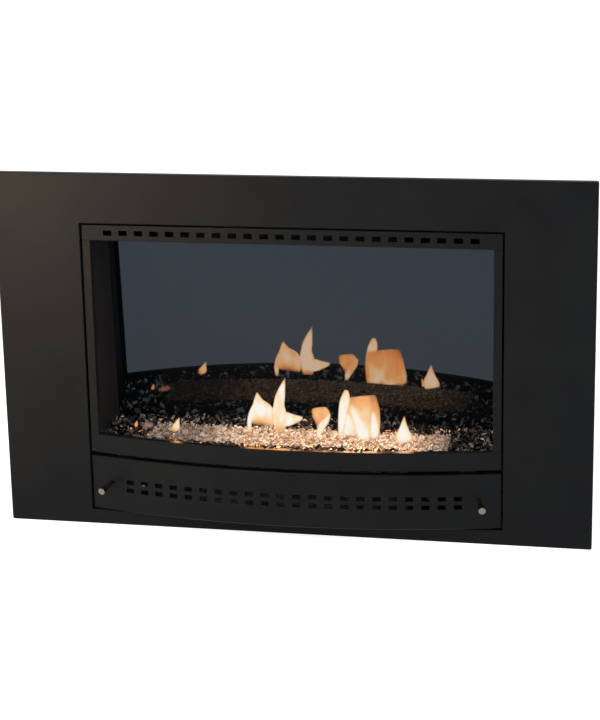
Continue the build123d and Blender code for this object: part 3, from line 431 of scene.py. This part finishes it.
FINISHES = {
    # Powder coat baked on sheet steel: an even black with a low satin sheen over a fine orange peel.
    "satin_black": dressed(
        "satin_black_powder_coat", coated_metal("#101215", "#151719", 0.4, 1.1 * MM, 0.35, 0.075)
    ),
    # Sprayed stove paint: flat and slightly rough, so that the firebox walls stay dark beside the fire.
    "firebox_black": dressed(
        "matt_heat_resistant_paint", coated_metal("#0E0E10", "#151517", 0.72, 0.7 * MM, 0.4, 0.3)
    ),
    "gloss_enamel": dressed("black_mirror_enamel", black_mirror_enamel),
    # Turned and polished steel: a grey mirror with fine marks.
    "polished_steel": dressed("polished_steel", bare_metal("#66615C", "#827C76", 0.24, 2.5 * MM)),
    "galvanised": dressed("galvanised_sheet", galvanised),
    # Bright zinc plate on pressed and cut fixings: pale, silky and a little cloudy.
    "zinc_fixings": dressed("zinc_plated_fixings", bare_metal("#9DA0A2", "#B9BBBB", 0.34, 3 * MM)),
    # Stainless sheet that has been hot: straw-brown clouds drawn out along the rolling direction.
    "burner_steel": dressed(
        "heat_tinted_stainless", bare_metal("#8C7F6E", "#A9A6A1", 0.32, 22 * MM, (0.25, 1, 1))
    ),
    # Moulded plastics: an even colour with a soft sheen. The texture is drawn coarser than the real one.
    "black_plastic": dressed("moulded_black_plastic", moulded("#161616", "#1C1C1C", 0.42)),
    "red_plastic": dressed("moulded_red_plastic", moulded("#A31C14", "#B52318", 0.28)),
    # Brass from the lathe: warm yellow with fine turning marks.
    "brass": dressed("turned_brass", bare_metal("#B08A45", "#CBA75E", 0.24, 3 * MM)),
    # Die-cast alloy as it leaves the mould: dull grey with a fine grain.
    "cast_alloy": dressed("die_cast_alloy", bare_metal("#8F9190", "#A9ABAA", 0.48, 1.6 * MM)),
    "white_ceramic": dressed("glazed_ceramic", glazed_ceramic),
    "clear_glass": dressed("crushed_clear_glass", crushed_clear_glass),
    "black_glass": dressed("crushed_black_glass", crushed_black_glass),
}
for entry in frame["record"]["subparts"]:
    mesh = frame["nodes"][entry["node"]].data
    mesh.materials.clear()
    mesh.materials.append(FINISHES[entry["material_slot"]])


# ---------------------------------------------------------------- pieces
def linked(name, mesh):
    """An object at the origin that shows the mesh."""
    piece = bpy.data.objects.new(name, mesh)
    bpy.context.scene.collection.objects.link(piece)
    return piece


def grown(piece, tree, values):
    """Runs a Geometry Nodes tree on a piece with the named values and keeps the result as a plain mesh."""
    modifier = piece.modifiers.new("grow", "NODES")
    modifier.node_group = tree
    identifiers = {item.name: item.identifier for item in tree.interface.items_tree if item.in_out == "INPUT"}
    for name, value in values.items():
        modifier[identifiers[name]] = value
    evaluated = piece.evaluated_get(bpy.context.evaluated_depsgraph_get())
    mesh = bpy.data.meshes.new_from_object(evaluated)
    piece.modifiers.remove(modifier)
    piece.data = mesh
    mesh.materials.clear()
    mesh.materials.append(values["Material"])
    for face in mesh.polygons:
        face.material_index = 0
    return piece


def new_tree(name, inputs):
    """A Geometry Nodes tree with a geometry input and output and the named inputs."""
    tree = bpy.data.node_groups.new(name, "GeometryNodeTree")
    tree.interface.new_socket("Geometry", in_out="INPUT", socket_type="NodeSocketGeometry")
    for label, kind in inputs:
        tree.interface.new_socket(label, in_out="INPUT", socket_type=kind)
    tree.interface.new_socket("Geometry", in_out="OUTPUT", socket_type="NodeSocketGeometry")
    return tree


def chip_tree(name, slabs):
    """Scatters irregular broken chips over a surface, each with its own size, turn, height and tone. They are
    five-sided slabs or rounder crumbs."""
    tree = new_tree(
        name,
        [
            ("Chip Size", "NodeSocketFloat"), ("Spacing", "NodeSocketFloat"), ("Rise", "NodeSocketFloat"),
            ("Seed", "NodeSocketInt"), ("Material", "NodeSocketMaterial"),
        ],
    )
    given = add_node(tree, "NodeGroupInput").outputs
    points = add_node(
        tree, "GeometryNodeDistributePointsOnFaces",
        {
            "Mesh": given["Geometry"], "Distance Min": given["Spacing"], "Density Max": CHIP_DENSITY,
            "Seed": given["Seed"],
        },
        distribute_method="POISSON",
    )
    down = add_node(tree, "ShaderNodeMath", {0: given["Rise"], 1: -1.0}, operation="MULTIPLY")
    height = add_node(
        tree, "FunctionNodeRandomValue", {2: down, 3: given["Rise"], "Seed": 3}, data_type="FLOAT"
    )
    lift = add_node(tree, "ShaderNodeCombineXYZ", {"Z": height.outputs[1]})
    lifted = add_node(tree, "GeometryNodeSetPosition", {"Geometry": points, "Offset": lift})
    turn = add_node(
        tree, "FunctionNodeRandomValue", {0: (0.0, 0.0, 0.0), 1: (FULL_TURN,) * 3, "Seed": 5},
        data_type="FLOAT_VECTOR",
    )
    proportions = add_node(
        tree, "FunctionNodeRandomValue", {0: CHIP_LEAST, 1: CHIP_MOST, "Seed": 7}, data_type="FLOAT_VECTOR"
    )
    if slabs:
        shard = add_node(
            tree, "GeometryNodeMeshCylinder",
            {"Vertices": 5, "Radius": given["Chip Size"], "Depth": given["Chip Size"]},
        )
    else:
        shard = add_node(
            tree, "GeometryNodeMeshIcoSphere", {"Radius": given["Chip Size"], "Subdivisions": 1}
        )
    placed = add_node(
        tree, "GeometryNodeInstanceOnPoints",
        {"Points": lifted, "Instance": shard, "Rotation": turn, "Scale": proportions},
    )
    tone = add_node(tree, "FunctionNodeRandomValue", {2: 0.0, 3: 1.0, "Seed": 11}, data_type="FLOAT")
    toned = add_node(
        tree, "GeometryNodeStoreNamedAttribute",
        {"Geometry": placed, "Name": "chip_tone", "Value": tone.outputs[1]},
        data_type="FLOAT", domain="INSTANCE",
    )
    real = add_node(tree, "GeometryNodeRealizeInstances", {"Geometry": toned})
    glint = add_node(tree, "FunctionNodeRandomValue", {2: 0.0, 3: 1.0, "Seed": 13}, data_type="FLOAT")
    faceted = add_node(
        tree, "GeometryNodeStoreNamedAttribute",
        {"Geometry": real, "Name": "facet", "Value": glint.outputs[1]},
        data_type="FLOAT", domain="FACE",
    )
    crooked = add_node(tree, "ShaderNodeTexNoise", {"Scale": BREAK_GRAIN, "Detail": 0.0}).outputs["Color"]
    centred = add_node(
        tree, "ShaderNodeVectorMath", {0: crooked, 1: (0.5, 0.5, 0.5)}, operation="SUBTRACT"
    )
    push = add_node(tree, "ShaderNodeVectorMath", {0: centred, "Scale": BREAK_PUSH}, operation="SCALE")
    broken = add_node(tree, "GeometryNodeSetPosition", {"Geometry": faceted, "Offset": push})
    finished = add_node(
        tree, "GeometryNodeSetMaterial", {"Geometry": broken, "Material": given["Material"]}
    )
    add_node(tree, "NodeGroupOutput", {"Geometry": finished})
    return tree


def fall(y, drop):
    """How far the glass has fallen away towards its front edge. A negative drop heaps it up there."""
    return max(0.0, FRONT_SLOPE_START - y) / FRONT_SLOPE_LENGTH * drop


def bedding(name, node, sink, drop=0.0):
    """The glass under the top layer: the CAD block with its top lowered, so that chips stand above it."""
    mesh = frame["nodes"][node].data.copy()
    shell = bmesh.new()
    shell.from_mesh(mesh)
    bmesh.ops.remove_doubles(shell, verts=shell.verts, dist=SAME_POINT)
    top = max(v.co.z for v in shell.verts)
    for vertex in shell.verts:
        if vertex.co.z > top - NEAR_TOP:
            vertex.co.z -= sink + fall(vertex.co.y, drop)
    shell.to_mesh(mesh)
    shell.free()
    return linked(name, mesh)


def top_surface(name, node, height, drop=0.0, inset=0.0):
    """The top faces of a CAD block, at a given height, sloped in front and inset from the block's sides."""
    shell = bmesh.new()
    shell.from_mesh(frame["nodes"][node].data)
    top = max(v.co.z for v in shell.verts)
    under = [f for f in shell.faces if min(v.co.z for v in f.verts) < top - NEAR_TOP]
    bmesh.ops.delete(shell, geom=under, context="FACES")
    bmesh.ops.remove_doubles(shell, verts=shell.verts, dist=SAME_POINT)
    low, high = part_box(node)
    everything = shell.verts[:] + shell.edges[:] + shell.faces[:]
    line = Vector((0, FRONT_SLOPE_START, 0))
    bmesh.ops.bisect_plane(shell, geom=everything, plane_co=line, plane_no=Vector((0, 1, 0)))
    for vertex in shell.verts:
        vertex.co.x = min(max(vertex.co.x, low.x + inset), high.x - inset)
        vertex.co.y = min(vertex.co.y + (inset if vertex.co.y < FRONT_SLOPE_START else 0.0), high.y - inset)
        vertex.co.z = height - fall(vertex.co.y, drop)
    mesh = bpy.data.meshes.new(name)
    shell.to_mesh(mesh)
    shell.free()
    return linked(name, mesh)


def flat_patch(name, low, high, height):
    """A level rectangle."""
    corners = [(low[0], low[1]), (high[0], low[1]), (high[0], high[1]), (low[0], high[1])]
    mesh = bpy.data.meshes.new(name)
    mesh.from_pydata([(x, y, height) for x, y in corners], [], [(0, 1, 2, 3)])
    return linked(name, mesh)


def merged(name, pieces):
    """One plain mesh from several pieces of one finish."""
    whole = bmesh.new()
    for piece in pieces:
        whole.from_mesh(piece.data)
    mesh = bpy.data.meshes.new(name)
    whole.to_mesh(mesh)
    whole.free()
    mesh.materials.append(pieces[0].data.materials[0])
    for piece in pieces:
        bpy.data.objects.remove(piece)
    return linked(name, mesh)


crumbs = chip_tree("clear_crumbs", slabs=False)
slabs = chip_tree("black_slabs", slabs=True)

# Clear chips over the burner.
clear_values = {
    "Chip Size": CLEAR_CHIP, "Spacing": CLEAR_SPACING, "Rise": CLEAR_RISE, "Seed": CLEAR_SEED,
    "Material": FINISHES["clear_glass"],
}
clear_top = top_surface(
    "clear_top", "clear_glass_strip", strip_high.z - CLEAR_LAYER, FRONT_SLOPE_DROP, CLEAR_INSET
)
clear_glass_chips = grown(clear_top, crumbs, clear_values)
clear_glass_chips.name = "clear_glass_chips"
clear_glass_bedding = bedding("clear_glass_bedding", "clear_glass_strip", CLEAR_BEDDING, FRONT_SLOPE_DROP)

# Black chips round it, and over the pocket that holds the pilot.
black_values = {
    "Chip Size": BLACK_CHIP, "Spacing": BLACK_SPACING, "Rise": BLACK_RISE, "Seed": BLACK_SEED,
    "Material": FINISHES["black_glass"],
}
black_top = top_surface("black_top", "black_glass_bed", bed_high.z - BLACK_LAYER, -FRONT_HEAP)
black_top = grown(black_top, slabs, black_values)
pocket = flat_patch(
    "pocket",
    (pilot_low.x - POCKET_MARGIN, pilot_low.y - POCKET_MARGIN),
    (strip_low.x - POCKET_GAP, pilot_high.y + POCKET_MARGIN),
    bed_high.z + POCKET_HEIGHT,
)
pocket = grown(pocket, slabs, dict(black_values, Seed=POCKET_SEED))
black_glass_chips = merged("black_glass_chips", [black_top, pocket])
black_glass_bedding = bedding("black_glass_bedding", "black_glass_bed", BLACK_BEDDING)

for piece, slot in (
    (clear_glass_chips, "clear_glass"),
    (clear_glass_bedding, "clear_glass"),
    (black_glass_chips, "black_glass"),
    (black_glass_bedding, "black_glass"),
):
    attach(piece, "casing")
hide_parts("clear_glass_strip")
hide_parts("black_glass_bed")


# ---------------------------------------------------------------- flames
def between(spine, share):
    """Place, height, width and warmth at a share of the way up a spine, smoothly through its points."""
    place = share * (len(spine) - 1)
    first = min(int(place), len(spine) - 2)
    t = place - first
    around = [spine[min(max(first + k, 0), len(spine) - 1)] for k in (-1, 0, 1, 2)]
    blended = []
    for a, b, c, d in zip(*around):
        blended.append(b + 0.5 * t * (c - a + t * (2 * a - 5 * b + 4 * c - d + t * (3 * (b - c) + d - a))))
    return blended


def tongue(shell, plane, edge, spine):
    """One closed lens of fire along a spine, with its warmth and cover kept on its points."""
    warmth_layer = shell.verts.layers.float["warmth"]
    cover_layer = shell.verts.layers.float["cover"]
    sheets = []
    for side in (-1, 1):
        grid = []
        for row in range(TONGUE_ROWS + 1):
            v = row / TONGUE_ROWS
            x, height, width, warm = between(spine, v)
            ahead = between(spine, min(1.0, v + LOOK_AHEAD))
            behind = between(spine, max(0.0, v - LOOK_AHEAD))
            run = Vector((ahead[0] - behind[0], ahead[1] - behind[1])).normalized()
            swell = math.sin(math.pi * (BLUNT_END + SWELL * v))
            belly = min(TONGUE_DEPTH * width, TONGUE_DEPTH_MOST) * swell
            rise = min(1.0, THIN + FOOT_FADE * v) * min(1.0, TIP_FADE * (1 - v) + THIN)
            line = []
            for column in range(TONGUE_COLUMNS + 1):
                s = math.sin(math.pi * (column / TONGUE_COLUMNS - 0.5))
                if side > 0 and (column in (0, TONGUE_COLUMNS) or row in (0, TONGUE_ROWS)):
                    line.append(sheets[0][row][column])
                    continue
                deep = plane + side * belly * math.sqrt(1 - s * s)
                reach = s * width / 2
                vertex = shell.verts.new(
                    ((x + reach * run.y) * MM, deep * MM, strip_high.z + (height - reach * run.x) * MM)
                )
                vertex[warmth_layer] = warm * (1 - RIM_COOLING * s**4)
                vertex[cover_layer] = min(1.0, (1 - abs(s)) * width / 2 / edge + THIN) * rise
                line.append(vertex)
            grid.append(line)
        sheets.append(grid)
    for grid in sheets:
        for low_row, high_row in zip(grid, grid[1:]):
            for k in range(TONGUE_COLUMNS):
                shell.faces.new((low_row[k], low_row[k + 1], high_row[k + 1], high_row[k]))


def flame(name, plane, tongues):
    """The tongues of one flame, each a little behind the one before."""
    shell = bmesh.new()
    shell.verts.layers.float.new("warmth")
    shell.verts.layers.float.new("cover")
    for order, (edge, spine) in enumerate(tongues):
        tongue(shell, plane + TONGUE_STEP * order, edge, spine)
    bmesh.ops.recalc_face_normals(shell, faces=shell.faces)
    for face in shell.faces:
        face.smooth = True
    mesh = bpy.data.meshes.new(name)
    shell.to_mesh(mesh)
    shell.free()
    mesh.materials.append(glow)
    piece = linked(name, mesh)
    piece.visible_shadow = False
    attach(piece, "casing")
    return piece


glow = dressed("flame", flame_glow)
for label, (plane, tongues) in FLAMES.items():
    flame(f"flame_{label}", plane, tongues)


# ---------------------------------------------------------------- screws
def screw_tree():
    """Hex-head screws with a washer, evenly spaced along an edge, their heads facing one way."""
    tree = new_tree(
        "row_of_screws",
        [
            ("Count", "NodeSocketInt"), ("Turn", "NodeSocketVector"), ("Material", "NodeSocketMaterial"),
            ("Head Radius", "NodeSocketFloat"), ("Head Height", "NodeSocketFloat"),
        ],
    )
    given = add_node(tree, "NodeGroupInput").outputs
    line = add_node(tree, "GeometryNodeMeshToCurve", {"Mesh": given["Geometry"]})
    points = add_node(
        tree, "GeometryNodeResampleCurve", {"Curve": line, "Count": given["Count"]}, mode="COUNT"
    )
    wide = add_node(tree, "ShaderNodeMath", {0: given["Head Radius"], 1: 1.5}, operation="MULTIPLY")
    thin = add_node(tree, "ShaderNodeMath", {0: given["Head Height"], 1: 0.3}, operation="MULTIPLY")
    washer = add_node(tree, "GeometryNodeMeshCylinder", {"Vertices": 16, "Radius": wide, "Depth": thin})
    head = add_node(
        tree, "GeometryNodeMeshCylinder",
        {"Vertices": 6, "Radius": given["Head Radius"], "Depth": given["Head Height"]},
    )
    half = add_node(tree, "ShaderNodeMath", {0: given["Head Height"], 1: 0.5}, operation="MULTIPLY")
    out = add_node(tree, "ShaderNodeCombineXYZ", {"Z": half})
    proud = add_node(tree, "GeometryNodeTransform", {"Geometry": head, "Translation": out})
    whole = add_node(tree, "GeometryNodeJoinGeometry", {"Geometry": washer})
    tree.links.new(proud.outputs["Geometry"], whole.inputs["Geometry"])
    turn = add_node(tree, "FunctionNodeEulerToRotation", {"Euler": given["Turn"]})
    placed = add_node(
        tree, "GeometryNodeInstanceOnPoints", {"Points": points, "Instance": whole, "Rotation": turn}
    )
    real = add_node(tree, "GeometryNodeRealizeInstances", {"Geometry": placed})
    finished = add_node(tree, "GeometryNodeSetMaterial", {"Geometry": real, "Material": given["Material"]})
    add_node(tree, "NodeGroupOutput", {"Geometry": finished})
    return tree


def screw_row(name, count, start, end, turn):
    """A row of screws from start to end, with their heads turned outwards."""
    mesh = bpy.data.meshes.new(name)
    mesh.from_pydata([start, end], [(0, 1)], [])
    values = {
        "Count": count, "Head Radius": SCREW_HEAD, "Head Height": SCREW_HEIGHT, "Turn": turn,
        "Material": FINISHES["zinc_fixings"],
    }
    return grown(linked(name, mesh), screws, values)


casing_low, casing_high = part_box("casing_top")
clip_low, clip_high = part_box("surround_clips")
screws = screw_tree()
QUARTER = math.pi / 2
TO_LEFT, TO_RIGHT, TO_BACK = (0, -QUARTER, 0), (0, QUARTER, 0), (-QUARTER, 0, 0)
rows = []
for edge, height in (("top", casing_high.z - FLANGE_MIDDLE), ("base", FLANGE_MIDDLE)):
    for side, x, turn in (("left", casing_low.x, TO_LEFT), ("right", casing_high.x, TO_RIGHT)):
        start, end = (x, SIDE_START, height), (x, SIDE_END, height)
        rows.append(screw_row(f"{edge}_{side}", SIDE_SCREWS, start, end, turn))
    start, end = (-BACK_REACH, casing_high.y, height), (BACK_REACH, casing_high.y, height)
    rows.append(screw_row(f"{edge}_back", BACK_SCREWS, start, end, TO_BACK))
for side, x, turn in (("left", clip_low.x + CLIP_LEG, TO_LEFT), ("right", clip_high.x - CLIP_LEG, TO_RIGHT)):
    start, end = (x, CLIP_DEPTH, CLIP_LOW), (x, CLIP_DEPTH, CLIP_HIGH)
    rows.append(screw_row(f"clips_{side}", CLIP_SCREWS, start, end, turn))
casing_screws = merged("casing_screws", rows)
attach(casing_screws, "casing")

# ---------------------------------------------------------------- studio
FLOOR_REACH = 40.0
floor = flat_patch("studio_floor", (-FLOOR_REACH, -FLOOR_REACH), (FLOOR_REACH, FLOOR_REACH), 0.0)
floor.data.materials.append(dressed("studio_paper", studio_floor))


def lamp(name, kind, place, energy, colour, aim=None, **settings):
    """A lamp, turned towards its aim if it has one."""
    light = bpy.data.lights.new(name, kind)
    light.energy = energy
    light.color = linear(colour)[:3]
    for key, value in settings.items():
        setattr(light, key, value)
    holder = bpy.data.objects.new(name, light)
    holder.location = place
    if aim is not None:
        holder.rotation_euler = (Vector(aim) - Vector(place)).to_track_quat("-Z", "Y").to_euler()
    bpy.context.scene.collection.objects.link(holder)
    return holder


# Studio lamps: name, kind, place in metres, watts and colour.
OBJECT_MIDDLE = (0, 0, 0.3)
lamp("key_upper_left", "AREA", (-2.3, -2.6, 2.3), 59, "#FFF3E2", aim=OBJECT_MIDDLE, size=1.8)
lamp(
    "low_warm_left", "AREA", (-1.6, -2.6, 0.36), 2.6, "#FFDDB8", aim=(-0.5, 0, 0.66), size=0.55,
    spread=math.radians(34),
)
lamp("overhead_warm", "AREA", (-0.4, -0.9, 2.0), 9, "#FFE2C4", aim=OBJECT_MIDDLE, size=0.7)
lamp("fill_right", "AREA", (2.6, -2.2, 1.4), 26, "#DCE7FF", aim=OBJECT_MIDDLE, size=1.6)

# Firelight on the glass and the metal round it: a lamp in each flame that neither the eye nor a mirror sees,
# with its place across and above the glass strip in millimetres, and its watts.
FIRELIGHT_PLANE = 24 * MM
for label, x, height, energy in (
    ("left", -60, 55, 0.2), ("tall", -15, 60, 0.18), ("middle", 45, 45, 0.12), ("broad", 112, 60, 0.28),
    ("right", 190, 40, 0.12),
):
    place = (x * MM, FIRELIGHT_PLANE, strip_high.z + height * MM)
    bulb = lamp(f"flame_light_{label}", "POINT", place, energy, "#FFC48A", shadow_soft_size=18 * MM)
    bulb.visible_glossy = False
    bulb.visible_camera = False

world = bpy.data.worlds.new("studio")
bpy.context.scene.world = world
world.use_nodes = True
sky = world.node_tree
sky.nodes.clear()
ambient = add_node(sky, "ShaderNodeBackground", {"Color": linear("#FFFFFF"), "Strength": 0.5})
backdrop = add_node(sky, "ShaderNodeBackground", {"Color": linear("#FFFFFD"), "Strength": 1.0})
studio_light = add_node(sky, "ShaderNodeMixShader", {0: plain_white(sky), 1: ambient, 2: backdrop})
add_node(sky, "ShaderNodeOutputWorld", {"Surface": studio_light})

# Camera: high on the right, turned a little left and down, with a small roll, as the photograph was taken.
# Its values come from a fit to the surround's edges and to patches round the opening, the slots and the lip.
CAMERA_PLACE = (546.5 * MM, -2776.8 * MM, 1171.9 * MM)
CAMERA_PAN = 0.1877            # radians to the left
CAMERA_TILT = 0.2299           # radians down
CAMERA_ROLL = -0.0192
PICTURE_HEIGHT = 720           # pixels
FOCAL_PIXELS = 1737
PRINCIPAL_ROW = 245.9          # picture row that the lens's axis meets
SENSOR_HEIGHT = 36

forward = Vector(
    (
        -math.sin(CAMERA_PAN) * math.cos(CAMERA_TILT),
        math.cos(CAMERA_PAN) * math.cos(CAMERA_TILT),
        -math.sin(CAMERA_TILT),
    )
)
level = Vector((math.cos(CAMERA_PAN), math.sin(CAMERA_PAN), 0))
upright = level.cross(forward)
right = level * math.cos(CAMERA_ROLL) + upright * math.sin(CAMERA_ROLL)
up = upright * math.cos(CAMERA_ROLL) - level * math.sin(CAMERA_ROLL)
lens = bpy.data.cameras.new("camera")
lens.sensor_fit = "VERTICAL"
lens.sensor_height = SENSOR_HEIGHT
lens.lens = FOCAL_PIXELS * SENSOR_HEIGHT / PICTURE_HEIGHT
lens.shift_y = (PRINCIPAL_ROW - PICTURE_HEIGHT / 2) / PICTURE_HEIGHT
lens.clip_end = 50
camera = bpy.data.objects.new("camera", lens)
turned = Matrix((right, up, -forward)).transposed().to_4x4()
camera.matrix_world = Matrix.Translation(CAMERA_PLACE) @ turned
bpy.context.scene.collection.objects.link(camera)
bpy.context.scene.camera = camera

bpy.context.scene.view_settings.view_transform = "Standard"
